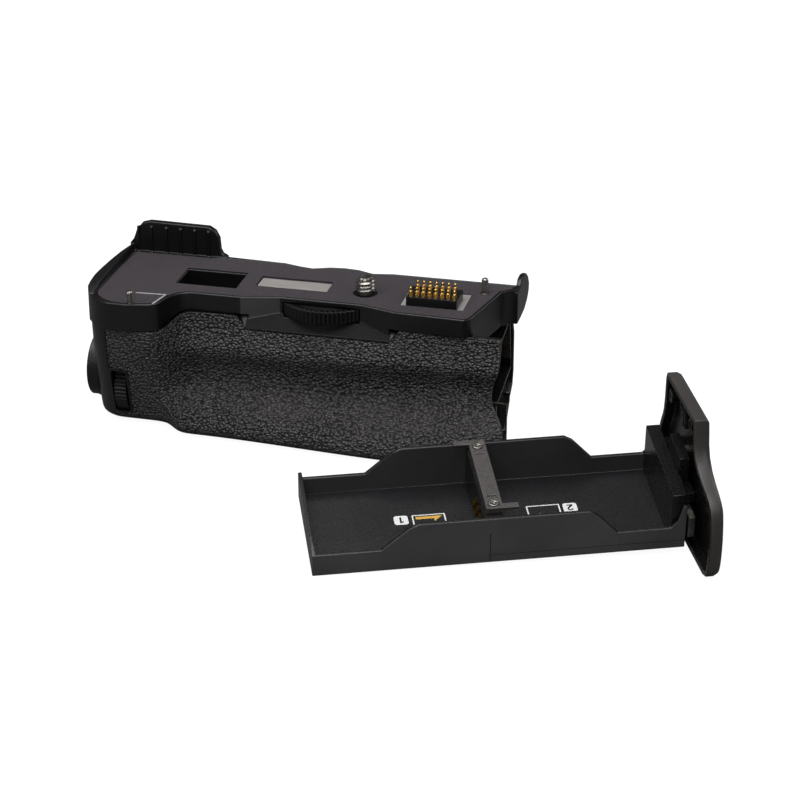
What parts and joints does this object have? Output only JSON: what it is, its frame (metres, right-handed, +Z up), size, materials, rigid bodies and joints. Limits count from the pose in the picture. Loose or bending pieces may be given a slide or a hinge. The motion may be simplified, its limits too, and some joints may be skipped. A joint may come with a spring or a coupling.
{
  "type": "camera battery grip",
  "caption": "Camera battery grip with a leather-look hand swell, camera screw, knurled wheel and controls, and its removed battery tray with door lying beside it.",
  "frame": {"origin": "centre of the tripod socket's mouth on the underside, straight below the camera screw", "axes": "X along the grip towards the open end of the battery bay, Y to the rear, Z up to the mating face"},
  "size_m": [0.2213, 0.1452, 0.0567],
  "materials": {
    "case_plastic": "fine satin moulded black",
    "smooth_plastic": "smooth black",
    "felt": "dark grey-violet felt",
    "cover": "pebbled black leather-look rubber",
    "steel": "turned steel",
    "gold": "gold-plated",
    "label": "plain satin plate",
    "board": "green solder mask",
    "bar": "grey-brown coated strip",
    "seat": "grey",
    "rubber": "soft black",
    "lamp": "milky lens"
  },
  "bodies": {
    "grip": {"top_frame": "case_plastic", "mating_pad": "felt", "label_plate": "label", "front_shell": "case_plastic", "grip_cover": "cover", "rear_case": "case_plastic", "base_plate": "case_plastic", "bay_liner": "smooth_plastic", "bay_contacts": "smooth_plastic", "contact_springs": "gold", "latch_keeper": "steel", "bay_leaf": "steel", "main_board": "board", "key_board": "board", "connector_seat": "seat", "connector_block": "smooth_plastic", "locating_pin_left": "steel", "locating_pin_right": "steel", "wheel_carrier": "label", "shutter_collar": "case_plastic", "shutter_spring": "steel", "shutter_switch": "smooth_plastic", "front_dial_axle": "steel", "rear_dial_axle": "steel", "stick_base": "smooth_plastic", "lamp_windows": "lamp", "power_socket": "smooth_plastic", "tripod_bush": "steel", "case_screws": "steel"},
    "tray": {"tray_channel": "smooth_plastic", "contact_bridge": "smooth_plastic", "bridge_bar": "bar", "bridge_screws": "steel", "battery_contacts": "gold", "tray_terminals": "gold", "bulkhead": "smooth_plastic", "door_shell": "case_plastic", "door_screws": "steel"},
    "latch_knob": {"latch_knob": "case_plastic", "latch_crank": "steel"},
    "latch_bolt": {"latch_bolt": "steel"},
    "thumbwheel": {"thumbwheel": "case_plastic"},
    "camera_screw": {"camera_screw": "steel", "screw_pinion": "gold"},
    "connector_pins": {"connector_pins": "gold"},
    "lock_ring": {"lock_ring": "case_plastic"},
    "shutter_button": {"shutter_button": "smooth_plastic"},
    "front_dial": {"front_dial": "case_plastic"},
    "rear_dial": {"rear_dial": "case_plastic"},
    "focus_button": {"focus_button": "case_plastic"},
    "exposure_button": {"exposure_button": "case_plastic"},
    "menu_button": {"menu_button": "case_plastic"},
    "focus_stick": {"focus_stick": "rubber"},
    "mode_switch": {"mode_switch": "case_plastic"},
    "socket_flap": {"socket_flap": "rubber"}
  },
  "joints": [
    {"name": "tray_slide", "type": "slide", "parent": "grip", "child": "tray", "axis": [0.9324, 0.3611, 0.0171], "range_m": [0, 0.12]},
    {"name": "bolt_slide", "type": "slide", "parent": "tray", "child": "latch_bolt", "axis": [-0.3592, 0.9201, 0.1564], "range_m": [0, 0.00282]},
    {"name": "latch_turn", "type": "hinge", "parent": "tray", "child": "latch_knob", "pos_m": [0.11158, -0.05412, 0.01175], "axis": [-0.9324, -0.3611, -0.0171], "range_deg": [0, 90]},
    {"name": "wheel_spin", "type": "hinge", "parent": "grip", "child": "thumbwheel", "pos_m": [-0.01204, 0.0012, 0.042], "axis": [0, 0, 1], "continuous": true},
    {"name": "screw_spin", "type": "hinge", "parent": "grip", "child": "camera_screw", "pos_m": [0, 0, 0.045], "axis": [0, 0, 1], "continuous": true},
    {"name": "pins_press", "type": "slide", "parent": "grip", "child": "connector_pins", "axis": [0, 0, -1], "range_m": [0, 0.0008], "stiffness_N_per_m": 800, "springref_m": -0.0005},
    {"name": "lock_turn", "type": "hinge", "parent": "grip", "child": "lock_ring", "pos_m": [-0.09, -0.005, 0.014], "axis": [1, 0, 0], "range_deg": [0, 40]},
    {"name": "shutter_press", "type": "slide", "parent": "grip", "child": "shutter_button", "axis": [1, 0, 0], "range_m": [0, 0.001], "stiffness_N_per_m": 600, "springref_m": -0.0005},
    {"name": "front_dial_spin", "type": "hinge", "parent": "grip", "child": "front_dial", "pos_m": [-0.0774, -0.014, 0.0132], "axis": [1, 0, 0], "continuous": true},
    {"name": "rear_dial_spin", "type": "hinge", "parent": "grip", "child": "rear_dial", "pos_m": [-0.0766, 0.024, 0.032], "axis": [0, 0, 1], "continuous": true},
    {"name": "focus_press", "type": "slide", "parent": "grip", "child": "focus_button", "axis": [0, -1, 0], "range_m": [0, 0.0006], "stiffness_N_per_m": 500, "springref_m": -0.0004},
    {"name": "exposure_press", "type": "slide", "parent": "grip", "child": "exposure_button", "axis": [0, -1, 0], "range_m": [0, 0.0006], "stiffness_N_per_m": 500, "springref_m": -0.0004},
    {"name": "menu_press", "type": "slide", "parent": "grip", "child": "menu_button", "axis": [0, -1, 0], "range_m": [0, 0.0006], "stiffness_N_per_m": 500, "springref_m": -0.0004},
    {"name": "stick_tilt", "type": "hinge", "parent": "grip", "child": "focus_stick", "pos_m": [-0.037, 0.0283, 0.0332], "axis": [1, 0, 0], "range_deg": [-5, 5], "stiffness_Nm_per_rad": 0.02},
    {"name": "switch_slide", "type": "slide", "parent": "grip", "child": "mode_switch", "axis": [1, 0, 0], "range_m": [0, 0.0028]},
    {"name": "flap_open", "type": "hinge", "parent": "grip", "child": "socket_flap", "pos_m": [0.03, 0.0304, 0.0304], "axis": [-1, 0, 0], "range_deg": [0, 90]}
  ],
  "couplings": [
    {"joint": "screw_spin", "follows": "wheel_spin", "ratio": 5.4},
    {"joint": "latch_turn", "follows": "bolt_slide", "rad_per_m": 555.36}
  ]
}
